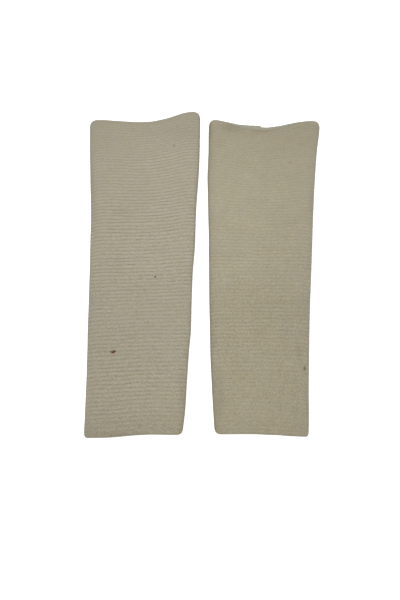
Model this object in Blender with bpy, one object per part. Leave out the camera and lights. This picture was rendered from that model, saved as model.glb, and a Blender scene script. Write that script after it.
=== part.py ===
"""A pair of knee warmers: two ribbed tubes, each knitted in one piece, laid flat side by side.

Blender 4.5. Metres, +Z up, the thigh ends towards +Y, the floor at Z = 0. The origin is on the floor
under the middle of the pair. Sizes below are in millimetres. Each warmer is worked out in its own
frame: across from its centre line, height up the leg from its lowest point, rise above the floor.
"""

from collections import namedtuple
from math import radians

import bmesh
import bpy
import numpy as np

MM = 0.001
COLLECTION_NAME = "pair_of_knee_warmers"

# The knit as a wall, and how it lies.
WALL = 1.9  # from the plain inside to half way up a rib
LAYER_GAP = 0.5  # left between the two layers where they lie flattest
EDGE_ROUNDING = 0.35  # how far a mouth's outer edge rounds down
EDGE_BAND = 1.1  # plain knit between a mouth's edge and the first rib
MOUTH_LIFT = 0.6  # how far the upper layer stands off at a mouth
MOUTH_REACH = 16.0  # and how far down the leg that reaches
CORNER_REACH = 26.0  # how far a rounded corner bends the ribs beside the fold
LEAST_RIB = 0.05  # a rib lower than this is left plain
PLAIN_STEP = 9.0  # between sections where the knit is plain
INSIDE_SECTIONS = 12

# Half of a section, from where the fold meets the floor, up round it and onto the upper layer.
# inset: in from the side; rise: above the floor; rib: its share of a rib's depth there;
# facing: the way the surface faces, 0 sideways and 90 up; inside: the wall's inner point there.
FoldPoint = namedtuple("FoldPoint", "inset rise rib facing inside_inset inside_rise")
LOW, HIGH = WALL, WALL + LAYER_GAP
FOLD = [
    FoldPoint(2.40, 0.00, 0.0, -90, 3.2, LOW),
    FoldPoint(0.70, 0.80, 0.5, -35, 2.3, LOW + 0.15),
    FoldPoint(0.00, 2.35, 0.8, 0, 1.9, LOW + 0.45),
    FoldPoint(0.75, 4.10, 1.0, 50, 2.2, LOW + 0.85),
    FoldPoint(2.60, 4.90, 1.0, 90, 3.3, LOW + 1.10),
    FoldPoint(9.00, 4.55, 1.0, 90, 9.0, LOW + 0.75),
]
UPPER_SHARES = (0.25, 0.42, 0.58, 0.75)  # of the width, for the points between the folds
LOWER_SHARES = (0.13, 0.27, 0.38, 0.462, 0.476, 0.60, 0.74, 0.87)

Side = namedtuple("Side", "height left right")  # how far each fold is from the centre line
Edge = namedtuple("Edge", "across height")
Ribs = namedtuple("Ribs", "height pitch depth")
Swell = namedtuple("Swell", "across height half_width half_length rise")
Corners = namedtuple("Corners", "top_left top_right bottom_left bottom_right")
# A bend power says how soon the ribs straighten, away from the curve of that mouth's edge.
Warmer = namedtuple(
    "Warmer",
    "name place colour sides top_upper top_lower top_bend_power bottom bottom_bend_power corners ribs"
    " swells",
)

LEFT_TOP = [
    Edge(-52, 317.4), Edge(-39, 317.6), Edge(-30, 317.0), Edge(-18, 316.2), Edge(-3, 315.5),
    Edge(9, 316.0), Edge(18, 317.6), Edge(27, 319.8), Edge(36, 322.8), Edge(42, 324.6),
    Edge(48, 325.6), Edge(58, 326.0),
]
LEFT = Warmer(
    name="warmer_left",
    place=(-59.79, -162.87),
    colour=(0.376, 0.342, 0.254),
    sides=[
        Side(8, 58.0, 41.0), Side(28, 57.1, 43.3), Side(58, 55.8, 45.1), Side(88, 54.9, 47.2),
        Side(108, 54.3, 49.0), Side(138, 53.4, 49.7), Side(158, 52.8, 50.3), Side(188, 52.0, 52.7),
        Side(228, 51.2, 54.3), Side(258, 51.8, 56.4), Side(288, 52.1, 57.8), Side(314, 52.2, 58.1),
    ],
    top_upper=LEFT_TOP,
    top_lower=LEFT_TOP,
    top_bend_power=2.0,
    bottom=[
        Edge(-58, 0.0), Edge(-39, 0.2), Edge(-24, 1.1), Edge(-15, 2.0), Edge(-3, 2.9),
        Edge(9, 3.4), Edge(33, 3.1), Edge(41, 3.3),
    ],
    bottom_bend_power=1.0,
    corners=Corners(7.0, 7.0, 3.5, 5.5),
    ribs=[
        Ribs(0, 4.1, 0.0), Ribs(13, 4.1, 0.0), Ribs(18, 4.1, 0.25), Ribs(50, 4.2, 0.42),
        Ribs(90, 3.95, 0.52), Ribs(115, 3.85, 0.50), Ribs(150, 3.6, 0.46), Ribs(195, 3.65, 0.52),
        Ribs(225, 3.22, 0.50), Ribs(260, 3.2, 0.42), Ribs(290, 2.65, 0.28), Ribs(320, 2.45, 0.20),
    ],
    swells=[
        Swell(-34, 228, 16, 9, -0.20), Swell(-30, 170, 12, 34, -0.16), Swell(20, 190, 22, 26, 0.30),
        Swell(28, 82, 18, 30, 0.28), Swell(30, 280, 20, 22, 0.22), Swell(-20, 44, 20, 16, 0.18),
    ],
)

RIGHT = Warmer(
    name="warmer_right",
    place=(61.71, -161.87),
    colour=(0.365, 0.331, 0.240),
    sides=[
        Side(5, 48.8, 45.2), Side(13, 49.6, 45.4), Side(27, 50.5, 45.4), Side(47, 51.5, 45.3),
        Side(77, 53.0, 45.5), Side(107, 53.6, 45.9), Side(137, 54.3, 46.8), Side(177, 54.6, 48.3),
        Side(217, 55.1, 49.5), Side(257, 56.0, 51.4), Side(287, 55.0, 53.6), Side(303, 54.9, 55.6),
        Side(310, 54.7, 56.2),
    ],
    top_upper=[
        Edge(-55, 316.6), Edge(-47.5, 316.6), Edge(-41.5, 315.3), Edge(-34.5, 312.6),
        Edge(-26.5, 309.9), Edge(-17.5, 307.7), Edge(-8.5, 306.4), Edge(0.5, 305.9),
        Edge(8, 306.6), Edge(15.5, 308.0), Edge(23.5, 309.9), Edge(31.5, 312.9),
        Edge(39.5, 315.0), Edge(45.5, 315.5), Edge(56, 315.6),
    ],
    top_lower=[
        Edge(-55, 316.6), Edge(-47.5, 316.6), Edge(-41.5, 315.8), Edge(-32.5, 313.9),
        Edge(-23.5, 312.2), Edge(-14.5, 311.5), Edge(-3.4, 311.0), Edge(-2.0, 309.6),
        Edge(3.5, 309.4), Edge(9.5, 310.0), Edge(18.5, 311.4), Edge(27.5, 313.3),
        Edge(36.5, 314.9), Edge(45.5, 315.5), Edge(56, 315.6),
    ],
    top_bend_power=5.0,
    bottom=[
        Edge(-49, 3.3), Edge(-41.5, 2.7), Edge(-17.5, 2.9), Edge(-5.5, 2.7), Edge(3.5, 2.2),
        Edge(15.5, 1.8), Edge(24.5, 1.0), Edge(33.5, 0.6), Edge(42.5, 0.2), Edge(46, 0.0),
    ],
    bottom_bend_power=3.0,
    corners=Corners(6.0, 6.5, 4.5, 3.5),
    ribs=[
        Ribs(0, 4.2, 0.0), Ribs(56, 4.25, 0.0), Ribs(62, 4.25, 0.14), Ribs(90, 3.95, 0.28),
        Ribs(107, 3.85, 0.36), Ribs(152, 3.6, 0.34), Ribs(190, 3.4, 0.36), Ribs(220, 3.2, 0.26),
        Ribs(260, 3.0, 0.20), Ribs(287, 2.8, 0.15), Ribs(315, 2.5, 0.12),
    ],
    swells=[
        Swell(-20, 262, 22, 26, 0.28), Swell(-10, 206, 26, 18, 0.24), Swell(34, 124, 14, 40, -0.18),
        Swell(-8, 90, 14, 24, 0.22), Swell(-14, 30, 18, 16, 0.26), Swell(30, 230, 12, 24, -0.14),
    ],
)


def curve(xs, ys, x):
    """A smooth curve through the rows of a table, which never swings past them."""
    xs, ys = np.array(xs, float), np.array(ys, float)
    run = np.diff(xs)
    slope = np.diff(ys) / run
    both = slope[:-1] * slope[1:]
    middle = np.where(both > 0, 2 * both / np.where(both > 0, slope[:-1] + slope[1:], 1), 0)
    tangent = np.concatenate([slope[:1], middle, slope[-1:]])
    x = np.clip(x, xs[0], xs[-1])
    row = np.clip(np.searchsorted(xs, x, side="right") - 1, 0, len(run) - 1)
    t = (x - xs[row]) / run[row]
    return (
        (1 + 2 * t) * (1 - t) ** 2 * ys[row]
        + t * (1 - t) ** 2 * run[row] * tangent[row]
        + t**2 * (3 - 2 * t) * ys[row + 1]
        + t**2 * (t - 1) * run[row] * tangent[row + 1]
    )


def along(rows, column, x):
    """One column of a table, read at x along its first column."""
    return curve([row[0] for row in rows], [getattr(row, column) for row in rows], x)


def middle_height(rows):
    return sum(row.height for row in rows) / len(rows)


def length_of(warmer):
    return middle_height(warmer.top_lower) - middle_height(warmer.bottom)


def across_at(warmer, height, inset, share, from_right):
    """Where a section's points are across the leg: in from a fold, or at a share of the width."""
    left = -along(warmer.sides, "left", height)
    right = along(warmer.sides, "right", height)
    by_inset = np.where(from_right, right - inset, left + inset)
    return np.where(np.isnan(share), by_inset, left + share * (right - left))


def corner_dip(inset, radius):
    """How far a corner of this radius rounds away, this far in from the fold."""
    short = np.clip(1 - inset / radius, 0, 1)
    return radius * (1 - np.sqrt(1 - short**2))


def heights_at(warmer, station, across, inset, from_right, is_upper):
    """How far up the leg a course of the knit runs: like the nearest mouth's edge, then straighter."""
    top_rows = (warmer.top_upper, warmer.top_lower)
    top = np.where(is_upper, *(along(rows, "height", across) for rows in top_rows))
    bottom = along(warmer.bottom, "height", across)
    length = length_of(warmer)
    up = station / length
    corners = warmer.corners
    top_dip = corner_dip(inset, np.where(from_right, corners.top_right, corners.top_left))
    bottom_dip = corner_dip(inset, np.where(from_right, corners.bottom_right, corners.bottom_left))
    top_fade = np.clip(1 - (length - station) / CORNER_REACH, 0, 1) ** 2
    bottom_fade = np.clip(1 - station / CORNER_REACH, 0, 1) ** 2
    return (
        middle_height(warmer.bottom)
        + station
        + up**warmer.top_bend_power * (top - middle_height(warmer.top_lower))
        + (1 - up) ** warmer.bottom_bend_power * (bottom - middle_height(warmer.bottom))
        - top_fade * top_dip
        + bottom_fade * bottom_dip
    )


def swell_at(warmer, across, height):
    """The soft rises and hollows of the upper layer."""
    rise = np.zeros_like(across)
    for swell in warmer.swells:
        sideways = (across - swell.across) / swell.half_width
        lengthways = (height - swell.height) / swell.half_length
        rise += swell.rise * np.exp(-(sideways**2) - lengthways**2)
    return rise


def section_columns():
    """The points round a section, from the left fold's foot over the top to the right fold's foot."""
    left = [(p.inset, np.nan, p.rise, p.rib, p.facing, False, p.inside_inset, p.inside_rise) for p in FOLD]
    over = [(np.inf, share, HIGH + WALL, 1.0, 90, False, np.inf, HIGH) for share in UPPER_SHARES]
    right = [row[:5] + (True,) + row[6:] for row in reversed(left)]
    names = "inset share rise rib facing from_right inside_inset inside_rise".split()
    return dict(zip(names, map(np.array, zip(*left, *over, *right, strict=True)), strict=True))


def place(warmer, across, height, rise):
    x, y = warmer.place
    return np.stack([x + across, y + height, rise], axis=-1) * MM


def upper_points(warmer, station, raised, columns, inside=False):
    """One section of the folds and the upper layer: its outer points, or those inside the wall."""
    inset = columns["inside_inset"] if inside else columns["inset"]
    share, from_right = columns["share"], columns["from_right"]
    across = across_at(warmer, station, inset, share, from_right)
    height = heights_at(warmer, station, across, columns["inset"], from_right, True)
    across = across_at(warmer, height, inset, share, from_right)
    rise = np.array(columns["inside_rise"] if inside else columns["rise"])
    left, right = (along(warmer.sides, side, height) for side in ("left", "right"))
    span = np.clip((across + left) / (left + right), 0, 1)
    loose = np.sin(np.pi * span) * (columns["rise"] > HIGH)
    to_mouth = min(station, length_of(warmer) - station)
    lift = MOUTH_LIFT * np.exp(-((to_mouth / MOUTH_REACH) ** 2)) + swell_at(warmer, across, height)
    rise = rise + loose * lift
    if not inside:
        facing = np.radians(columns["facing"])
        outwards = np.where(from_right, 1, -1)
        across = across + raised * columns["rib"] * np.cos(facing) * outwards
        rise = rise + raised * columns["rib"] * np.sin(facing)
    return place(warmer, across, height, rise)


def lower_points(warmer, station, rise):
    """One section of the lower layer between the folds, from left to right."""
    share = np.array(LOWER_SHARES)
    far = np.full(len(share), np.inf)
    across = across_at(warmer, station, far, share, False)
    height = heights_at(warmer, station, across, far, False, False)
    across = across_at(warmer, height, far, share, False)
    return place(warmer, across, height, np.full(len(share), rise))


def outer_stations(warmer):
    """How far up each section is, and how far its outside is raised: crest and valley by turns."""
    length = length_of(warmer)
    stations = [(0.0, -EDGE_ROUNDING), (EDGE_BAND, 0.0)]
    at = EDGE_BAND
    while at < length - EDGE_BAND:
        pitch = float(along(warmer.ribs, "pitch", at))
        depth = float(along(warmer.ribs, "depth", at))
        ribbed = depth >= LEAST_RIB
        at += pitch if ribbed else PLAIN_STEP
        if at > length - EDGE_BAND - pitch / 2:
            break
        if ribbed:
            stations.append((at - pitch / 2, depth / 2))
            stations.append((at, -depth / 2))
        else:
            stations.append((at, 0.0))
    stations += [(length - EDGE_BAND, 0.0), (length, -EDGE_ROUNDING)]
    return stations


def join_rings(mesh, first, second):
    """Quads between two closed rings of points, one for each pair of neighbours."""
    for i in range(len(first)):
        j = (i + 1) % len(first)
        mesh.faces.new((first[i], first[j], second[j], second[i]))


def join_strips(mesh, first, second):
    for i in range(len(first) - 1):
        mesh.faces.new((first[i], first[i + 1], second[i + 1], second[i]))


def knit_tube(warmer):
    """The warmer as one closed wall: ribbed outside, plain inside, flat where it lies on the floor."""
    mesh = bmesh.new()
    columns = section_columns()
    length = length_of(warmer)

    def points(places):
        return [mesh.verts.new(p) for p in places]

    outside = [points(upper_points(warmer, *station, columns)) for station in outer_stations(warmer)]
    for low, high in zip(outside, outside[1:]):
        join_strips(mesh, low, high)

    # The lower layer's outside is one flat face: up the left fold's foot, and back down the right's.
    bottom_edge, top_edge = (points(lower_points(warmer, at, 0.0)) for at in (0.0, length))
    left_foot = [section[0] for section in outside]
    right_foot = [section[-1] for section in outside]
    mesh.faces.new(left_foot + top_edge + right_foot[::-1] + bottom_edge[::-1])

    inside = []
    for at in np.linspace(0.0, length, INSIDE_SECTIONS):
        upper = points(upper_points(warmer, at, 0.0, columns, inside=True))
        inside.append(upper + points(lower_points(warmer, at, LOW))[::-1])
    for low, high in zip(inside, inside[1:]):
        join_rings(mesh, low, high)
    join_rings(mesh, outside[0] + bottom_edge[::-1], inside[0])
    join_rings(mesh, outside[-1] + top_edge[::-1], inside[-1])

    bmesh.ops.recalc_face_normals(mesh, faces=mesh.faces[:])
    return mesh


def knit_material(name, colour):
    material = bpy.data.materials.new(name)
    material.use_nodes = True
    shader = material.node_tree.nodes["Principled BSDF"]
    shader.inputs["Base Color"].default_value = (*colour, 1.0)
    shader.inputs["Roughness"].default_value = 0.95
    shader.inputs["Metallic"].default_value = 0.0
    return material


def make_warmer(warmer, collection):
    data = bpy.data.meshes.new(warmer.name)
    tube = knit_tube(warmer)
    tube.to_mesh(data)
    tube.free()
    data.shade_smooth()
    data.set_sharp_from_angle(angle=radians(50))
    data.materials.append(knit_material(f"{warmer.name}_knit", warmer.colour))
    collection.objects.link(bpy.data.objects.new(warmer.name, data))


def main():
    for obj in list(bpy.data.objects):
        bpy.data.objects.remove(obj, do_unlink=True)
    collection = bpy.data.collections.new(COLLECTION_NAME)
    bpy.context.scene.collection.children.link(collection)
    for warmer in (LEFT, RIGHT):
        make_warmer(warmer, collection)


main()
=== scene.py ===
"""The looks of the pair of knee warmers: ribbed knit tubes laid flat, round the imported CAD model.

Blender 4.5. Blender's own units are metres, +Z up, the thigh ends towards +Y, the floor at Z = 0.
The camera and the studio are set in metres, and what follows them in millimetres. As in the CAD
source, each warmer is worked out in its own frame: across from its centre line, height up the leg
from its lowest point, rise above the floor. A row of the knit's points runs once round the tube, and
a column of them runs up the leg. Each warmer has an outside, which holds the ribs, stitches and both
rims, and an inside, which lines the wall.
"""

from collections import namedtuple

import bpy
import numpy as np
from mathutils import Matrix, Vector


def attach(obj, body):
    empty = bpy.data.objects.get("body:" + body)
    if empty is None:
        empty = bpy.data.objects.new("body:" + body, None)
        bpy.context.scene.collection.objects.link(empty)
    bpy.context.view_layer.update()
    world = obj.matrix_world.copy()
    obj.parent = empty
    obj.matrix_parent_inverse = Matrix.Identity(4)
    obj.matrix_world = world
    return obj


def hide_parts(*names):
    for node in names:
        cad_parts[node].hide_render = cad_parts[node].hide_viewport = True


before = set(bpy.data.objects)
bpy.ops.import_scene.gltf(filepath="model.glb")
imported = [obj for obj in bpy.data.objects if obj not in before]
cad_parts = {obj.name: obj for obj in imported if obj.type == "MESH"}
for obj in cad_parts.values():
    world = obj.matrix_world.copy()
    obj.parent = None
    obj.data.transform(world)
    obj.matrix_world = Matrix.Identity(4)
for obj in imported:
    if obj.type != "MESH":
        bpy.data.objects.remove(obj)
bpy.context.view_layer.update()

MM = 0.001

# ------------------------ the camera and the studio

CAMERA_AT = (-0.0018, -0.0251, 1.4024)  # straight above, one millimetre of cloth to a pixel
CAMERA_LENS = 84.0
SENSOR = 36.0
FLOOR_SIDE = 12.0
FLOOR_RISE = -0.0002
FLOOR_COLOUR = (0.93, 0.93, 0.93)
FLOOR_GLOW = 0.45  # a lit table, which keeps the floor white right up to the cloth
SKY_STRENGTH = 0.55
LAMP_AT = (-0.25, 0.30, 1.6)
LAMP_SIDE = 1.2
LAMP_WATTS = 21.0


def make_camera():
    data = bpy.data.cameras.new("camera")
    data.lens = CAMERA_LENS
    data.sensor_width = SENSOR
    camera = bpy.data.objects.new("camera", data)
    camera.location = CAMERA_AT
    bpy.context.scene.collection.objects.link(camera)
    bpy.context.scene.camera = camera


def make_floor():
    half = FLOOR_SIDE / 2
    corners = [(-half, -half, 0), (half, -half, 0), (half, half, 0), (-half, half, 0)]
    data = bpy.data.meshes.new("floor")
    data.from_pydata(corners, [], [(0, 1, 2, 3)])
    material = bpy.data.materials.new("floor")
    material.use_nodes = True
    shader = material.node_tree.nodes["Principled BSDF"]
    shader.inputs["Base Color"].default_value = (*FLOOR_COLOUR, 1.0)
    shader.inputs["Roughness"].default_value = 1.0
    shader.inputs["Specular IOR Level"].default_value = 0.0
    shader.inputs["Emission Color"].default_value = (1.0, 1.0, 1.0, 1.0)
    shader.inputs["Emission Strength"].default_value = FLOOR_GLOW
    data.materials.append(material)
    floor = bpy.data.objects.new("floor", data)
    floor.location.z = FLOOR_RISE
    bpy.context.scene.collection.objects.link(floor)


def make_lights():
    world = bpy.data.worlds.new("studio")
    world.use_nodes = True
    background = world.node_tree.nodes["Background"]
    background.inputs["Color"].default_value = (1.0, 1.0, 1.0, 1.0)
    background.inputs["Strength"].default_value = SKY_STRENGTH
    bpy.context.scene.world = world
    data = bpy.data.lights.new("lamp", "AREA")
    data.shape = "SQUARE"
    data.size = LAMP_SIDE
    data.energy = LAMP_WATTS
    lamp = bpy.data.objects.new("lamp", data)
    lamp.location = LAMP_AT
    lamp.rotation_euler = (-Vector(LAMP_AT)).to_track_quat("-Z", "Y").to_euler()
    lamp.visible_camera = False
    bpy.context.scene.collection.objects.link(lamp)


# ------------------------ sizes that the CAD source has too

WALL = 1.9  # from the plain inside to half way up a rib
LAYER_GAP = 0.5  # left between the two layers where they lie flattest
EDGE_ROUNDING = 0.35  # how far a mouth's outer edge rounds down
EDGE_BAND = 1.1  # plain knit between a mouth's edge and the first rib
MOUTH_LIFT = 0.6  # how far the upper layer stands off at a mouth
MOUTH_REACH = 16.0  # and how far down the leg that reaches
CORNER_REACH = 26.0  # how far a rounded corner bends the ribs beside the fold
LEAST_RIB = 0.05  # a rib lower than this is left plain
PLAIN_STEP = 9.0  # between the CAD's sections where the knit is plain


def rows_of(kind, rows):
    return [kind(*row) for row in rows]


# Half of a section, from where the fold meets the floor, up round it and onto the upper layer.
# inset: in from the side; rise: above the floor; rib: its share of a rib's depth there;
# facing: the way the surface faces, 0 sideways and 90 up; inside: the wall's inner point there.
FoldPoint = namedtuple("FoldPoint", "inset rise rib facing inside_inset inside_rise")
LOW, HIGH = WALL, WALL + LAYER_GAP
FOLD = rows_of(FoldPoint, [
    (2.40, 0.00, 0.0, -90, 3.2, LOW),
    (0.70, 0.80, 0.5, -35, 2.3, LOW + 0.15),
    (0.00, 2.35, 0.8, 0, 1.9, LOW + 0.45),
    (0.75, 4.10, 1.0, 50, 2.2, LOW + 0.85),
    (2.60, 4.90, 1.0, 90, 3.3, LOW + 1.10),
    (9.00, 4.55, 1.0, 90, 9.0, LOW + 0.75),
])
FOOT, CREST = FOLD[0], FOLD[4]

Side = namedtuple("Side", "height left right")  # how far each fold is from the centre line
Edge = namedtuple("Edge", "across height")
Ribs = namedtuple("Ribs", "height pitch depth")
Swell = namedtuple("Swell", "across height half_width half_length rise")
Corners = namedtuple("Corners", "top_left top_right bottom_left bottom_right")
# A bend power says how soon the ribs straighten, away from the curve of that mouth's edge.
Warmer = namedtuple(
    "Warmer",
    "node place sides top_upper top_lower top_bend_power bottom bottom_bend_power corners ribs swells",
)

LEFT_TOP = rows_of(Edge, [
    (-52, 317.4), (-39, 317.6), (-30, 317.0), (-18, 316.2), (-3, 315.5), (9, 316.0), (18, 317.6),
    (27, 319.8), (36, 322.8), (42, 324.6), (48, 325.6), (58, 326.0),
])
LEFT = Warmer(
    node="warmer_left",
    place=(-59.79, -162.87),
    sides=rows_of(Side, [
        (8, 58.0, 41.0), (28, 57.1, 43.3), (58, 55.8, 45.1), (88, 54.9, 47.2), (108, 54.3, 49.0),
        (138, 53.4, 49.7), (158, 52.8, 50.3), (188, 52.0, 52.7), (228, 51.2, 54.3), (258, 51.8, 56.4),
        (288, 52.1, 57.8), (314, 52.2, 58.1),
    ]),
    top_upper=LEFT_TOP,
    top_lower=LEFT_TOP,
    top_bend_power=2.0,
    bottom=rows_of(Edge, [
        (-58, 0.0), (-39, 0.2), (-24, 1.1), (-15, 2.0), (-3, 2.9), (9, 3.4), (33, 3.1), (41, 3.3),
    ]),
    bottom_bend_power=1.0,
    corners=Corners(7.0, 7.0, 3.5, 5.5),
    ribs=rows_of(Ribs, [
        (0, 4.1, 0.0), (13, 4.1, 0.0), (18, 4.1, 0.25), (50, 4.2, 0.42), (90, 3.95, 0.52),
        (115, 3.85, 0.50), (150, 3.6, 0.46), (195, 3.65, 0.52), (225, 3.22, 0.50), (260, 3.2, 0.42),
        (290, 2.65, 0.28), (320, 2.45, 0.20),
    ]),
    swells=rows_of(Swell, [
        (-34, 228, 16, 9, -0.20), (-30, 170, 12, 34, -0.16), (20, 190, 22, 26, 0.30),
        (28, 82, 18, 30, 0.28), (30, 280, 20, 22, 0.22), (-20, 44, 20, 16, 0.18),
    ]),
)

RIGHT = Warmer(
    node="warmer_right",
    place=(61.71, -161.87),
    sides=rows_of(Side, [
        (5, 48.8, 45.2), (13, 49.6, 45.4), (27, 50.5, 45.4), (47, 51.5, 45.3), (77, 53.0, 45.5),
        (107, 53.6, 45.9), (137, 54.3, 46.8), (177, 54.6, 48.3), (217, 55.1, 49.5), (257, 56.0, 51.4),
        (287, 55.0, 53.6), (303, 54.9, 55.6), (310, 54.7, 56.2),
    ]),
    top_upper=rows_of(Edge, [
        (-55, 316.6), (-47.5, 316.6), (-41.5, 315.3), (-34.5, 312.6), (-26.5, 309.9), (-17.5, 307.7),
        (-8.5, 306.4), (0.5, 305.9), (8, 306.6), (15.5, 308.0), (23.5, 309.9), (31.5, 312.9),
        (39.5, 315.0), (45.5, 315.5), (56, 315.6),
    ]),
    top_lower=rows_of(Edge, [
        (-55, 316.6), (-47.5, 316.6), (-41.5, 315.8), (-32.5, 313.9), (-23.5, 312.2), (-14.5, 311.5),
        (-3.4, 311.0), (-2.0, 309.6), (3.5, 309.4), (9.5, 310.0), (18.5, 311.4), (27.5, 313.3),
        (36.5, 314.9), (45.5, 315.5), (56, 315.6),
    ]),
    top_bend_power=5.0,
    bottom=rows_of(Edge, [
        (-49, 3.3), (-41.5, 2.7), (-17.5, 2.9), (-5.5, 2.7), (3.5, 2.2), (15.5, 1.8), (24.5, 1.0),
        (33.5, 0.6), (42.5, 0.2), (46, 0.0),
    ]),
    bottom_bend_power=3.0,
    corners=Corners(6.0, 6.5, 4.5, 3.5),
    ribs=rows_of(Ribs, [
        (0, 4.2, 0.0), (56, 4.25, 0.0), (62, 4.25, 0.14), (90, 3.95, 0.28), (107, 3.85, 0.36),
        (152, 3.6, 0.34), (190, 3.4, 0.36), (220, 3.2, 0.26), (260, 3.0, 0.20), (287, 2.8, 0.15),
        (315, 2.5, 0.12),
    ]),
    swells=rows_of(Swell, [
        (-20, 262, 22, 26, 0.28), (-10, 206, 26, 18, 0.24), (34, 124, 14, 40, -0.18),
        (-8, 90, 14, 24, 0.22), (-14, 30, 18, 16, 0.26), (30, 230, 12, 24, -0.14),
    ]),
)

# ------------------------ the knit's finer form

TopPoint = namedtuple("TopPoint", "inset rise")
# The upper layer, from the fold's crest in to where it lies flattest.
TOP = rows_of(TopPoint, [
    (CREST.inset, CREST.rise), (5.5, 4.75), (9.0, 4.55), (16.0, 4.38), (27.0, HIGH + WALL),
    (70.0, HIGH + WALL),
])
LAYER_WALES = 72  # lines of stitches up the leg in the upper layer, and as many in the lower one
FOLD_WALES = 5  # and round each fold
UPPER_COLUMNS = 108  # of the mesh: three to each pair of wales
LOWER_COLUMNS = 54
FOLD_COLUMNS = 12
LAYER_WIDTH = 100.0  # a layer's usual width between its folds, for spacing noise and maps

COURSES_IN_RIB = 4
EDGE_COURSES = 1.0  # between a mouth's edge and the first rib
RIB_ROWS = (0.0, 0.24, 0.44, 0.56, 0.76)  # shares of a rib, from one groove to the next
GROOVE_WIDTH = 0.20  # half of a groove, as a share of the rib
SPLIT_WIDTH = 0.12  # and of the dip along a rib's middle
RIB_SPLIT = 0.12  # how deep that dip is, as a share of the rib's depth
PAIRS = 0.12  # how much deeper the groove is under each second wale
PLAIN_PITCH = 4.05  # of the ribs in the plain knit, which are too faint for the CAD
PLAIN_RELIEF = 0.13
LEAST_LEFT = 1.5  # the ribs stop where fewer pitches than this are left
LAST_RELIEF = 0.20  # of what is left between the last rib and the upper mouth's edge
LAST_SHAPE = 0.3
LAST_STEP = 0.75
LAST_COURSES = 3.0
EDGE_ROWS = (0.0, 0.3, 0.65)  # stations of the rows that round a mouth's edge
RIM_ROWS = 4  # from a mouth's outer edge to its inner one
RIM_COURSES = 1.0
RIM_BULGE = 0.15  # how far it stands out between them
RIM_SCALLOP = 0.08  # and how much more or less over each second wale
# How far from the nearest mouth the inside's rows are, closest together where they show.
INSIDE_STATIONS = np.concatenate([np.linspace(0, 18, 25), np.linspace(26, 158, 18)])

Cell = namedtuple("Cell", "up around")  # how far soft noise runs before it takes a new value
COURSE_WOBBLE, WOBBLE_CELL = 0.48, Cell(5.4, 14.0)  # how far the courses wander up and down
FINE_WOBBLE, FINE_CELL = 0.4, Cell(2.7, 5.0)  # a finer wobble, as a share of that one
WOBBLE_START = 8.0  # how far from a mouth both have their full size
STITCH_JITTER, JITTER_CELL = 0.22, Cell(1.0, 2.2)  # how far single stitches stray; up in half ribs
OUTLINE_WOBBLE, OUTLINE_CELL = 0.14, Cell(22.0, 0.5)  # around as a share of the tube
SOFT_SWELL, SWELL_CELL = 0.60, Cell(34.0, 30.0)  # the most that the upper layer's unevenness lifts it
SWELL_START = 30.0
BEADS, BEAD_CELL = 0.3, Cell(1.0, 5.5)  # how far a rib's depth varies along it; up in ribs
DASHES, DASH_CELL = 0.75, Cell(1.0, 1.6)
PATCHES, PATCH_CELL = 0.2, Cell(36.0, 42.0)  # and from one part of the leg to another
STEADY_FROM, STEADY_OVER = 232.0, 40.0  # where up the leg the grooves grow more even
DROOP_REACH = 4.5  # how far in from a fold the ribs' droop there reaches
DROOP_START = 16.0  # and how far from a mouth it has its full size
WALE_RELIEF = 0.07  # how far each second wale stands above the next one
STITCH_RELIEF = 0.07  # and how far single stitches stand above or below the rest
GRAIN_START, EDGE_GRAIN = 3.0, 0.3  # both grow over this length, from this share at a mouth's edge
FOLD_FLATTENING = 0.45  # the ribs' depth seen from the side, as a share of their depth on top
UNDERSIDE_FADE = 5.0  # how far in from a fold the underside's grooves have their full depth

FOLD_SHADE_REACH = 1.7  # how far in from a fold its painted shade reaches
SIDE_SHADE_REACH = 10.0  # and the softer painted shade beside it
MOUTH_SHADE_REACH = 0.8  # and how far the painted shade reaches in from a mouth's edge
MEAN_SHAPE = 0.13  # of a rib; what is higher gets painted light, and what is lower painted shade
STITCH_UNEVEN = 0.25  # how far single stitches change the grooves' shade
MIDDLE_SHADE = 0.25  # how much darker the upper grooves are between the folds than at them
MIDDLE_FROM, MIDDLE_OVER = 150.0, 60.0  # where up the leg that begins


def curve(xs, ys, x):
    """A smooth curve through the rows of a table, which never swings past them."""
    xs, ys = np.array(xs, float), np.array(ys, float)
    run = np.diff(xs)
    slope = np.diff(ys) / run
    both = slope[:-1] * slope[1:]
    middle = np.where(both > 0, 2 * both / np.where(both > 0, slope[:-1] + slope[1:], 1), 0)
    tangent = np.concatenate([slope[:1], middle, slope[-1:]])
    x = np.clip(x, xs[0], xs[-1])
    row = np.clip(np.searchsorted(xs, x, side="right") - 1, 0, len(run) - 1)
    t = (x - xs[row]) / run[row]
    return (
        (1 + 2 * t) * (1 - t) ** 2 * ys[row]
        + t * (1 - t) ** 2 * run[row] * tangent[row]
        + t**2 * (3 - 2 * t) * ys[row + 1]
        + t**2 * (t - 1) * run[row] * tangent[row + 1]
    )


def along(rows, column, x):
    """One column of a table, read at x along its first column."""
    return curve([row[0] for row in rows], [getattr(row, column) for row in rows], x)


def ease(t):
    """From 0 to 1 with no corner at either end."""
    t = np.clip(t, 0, 1)
    return t * t * (3 - 2 * t)


def soft_noise(seed, up, around, cell, loop):
    """Smooth random values from -1 to 1, a new one for each cell up the leg and round the loop."""
    count = max(2, round(loop / cell.around))
    up, around = up / cell.up, around / loop * count
    grid = np.random.default_rng(seed).uniform(-1, 1, (int(np.max(up)) + 3, count))
    row, column = np.floor(up).astype(int), np.floor(around).astype(int)
    higher, further = ease(up - row), ease(around - column)
    here, beside = column % count, (column + 1) % count
    low = grid[row, here] * (1 - further) + grid[row, beside] * further
    high = grid[row + 1, here] * (1 - further) + grid[row + 1, beside] * further
    return low * (1 - higher) + high * higher


def middle_height(rows):
    return sum(row.height for row in rows) / len(rows)


def length_of(warmer):
    return middle_height(warmer.top_lower) - middle_height(warmer.bottom)


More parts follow.
